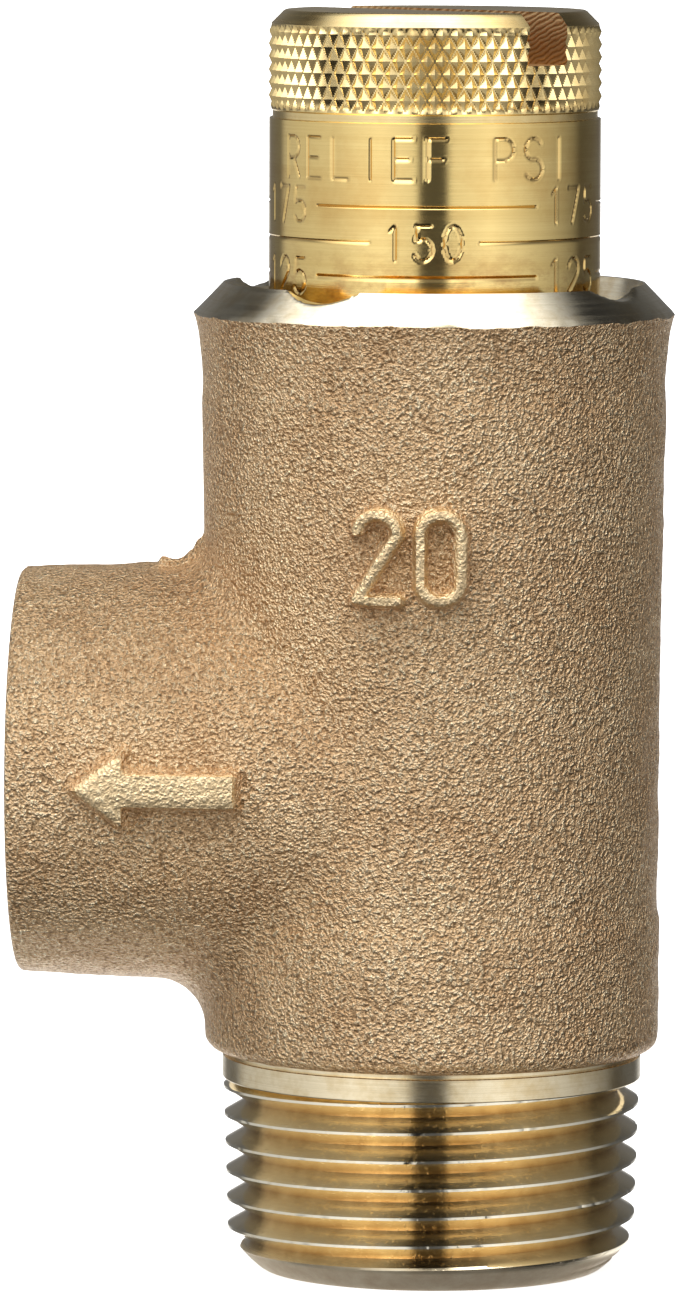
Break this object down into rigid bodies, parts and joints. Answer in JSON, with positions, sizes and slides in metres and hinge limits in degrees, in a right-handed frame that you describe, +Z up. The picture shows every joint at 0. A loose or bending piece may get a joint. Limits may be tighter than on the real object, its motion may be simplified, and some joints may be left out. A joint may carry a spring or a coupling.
{
  "type": "pressure relief valve",
  "caption": "Angle-pattern bronze relief valve with a threaded inlet below, a side outlet boss and a knurled brass cap that turns to set the opening pressure.",
  "frame": {"origin": "centre of the inlet's end face, on the valve's axis", "axes": "+Z up along the inlet and the adjusting cap; -X is the way the outlet boss points; the flow arrow is on the -Y side"},
  "size_m": [0.0419, 0.0309, 0.0809],
  "materials": {
    "bronze_casting": "sand-cast skin with machined spigot, rim and bores",
    "cap_brass": "bright turned and knurled, engraved scale",
    "bearing_steel": "polished",
    "button_brass": "turned",
    "spring_steel": "drawn stainless wire, ground ends",
    "rest_steel": "ground",
    "holder_brass": "turned and milled",
    "seat_rubber": "moulded silicone rubber",
    "washer_steel": "blanked",
    "screw_steel": "turned"
  },
  "bodies": {
    "casting": {"valve_body": "bronze_casting"},
    "spring_carriage": {"upper_spring_button": "button_brass", "thrust_ball": "bearing_steel", "relief_spring": "spring_steel"},
    "cap": {"adjusting_cap": "cap_brass"},
    "poppet": {"disc_holder": "holder_brass", "seat_disc": "seat_rubber", "disc_washer": "washer_steel", "disc_screw": "screw_steel", "spring_rest": "rest_steel"}
  },
  "joints": [
    {"name": "cap_travel", "type": "slide", "parent": "casting", "child": "spring_carriage", "axis": [0, 0, 1], "range_m": [-0.00525, 0.006], "deforming": ["relief_spring"]},
    {"name": "cap_turn", "type": "hinge", "parent": "spring_carriage", "child": "cap", "pos_m": [0, 0, 0], "axis": [0, 0, 1], "range_deg": [-1041.8, 1190.6]},
    {"name": "poppet_lift", "type": "slide", "parent": "casting", "child": "poppet", "axis": [0, 0, 1], "range_m": [0, 0.0025], "stiffness_N_per_m": 9650, "springref_m": -0.0105}
  ],
  "couplings": [
    {"joint": "cap_turn", "follows": "cap_travel", "rad_per_m": 3463.2}
  ]
}
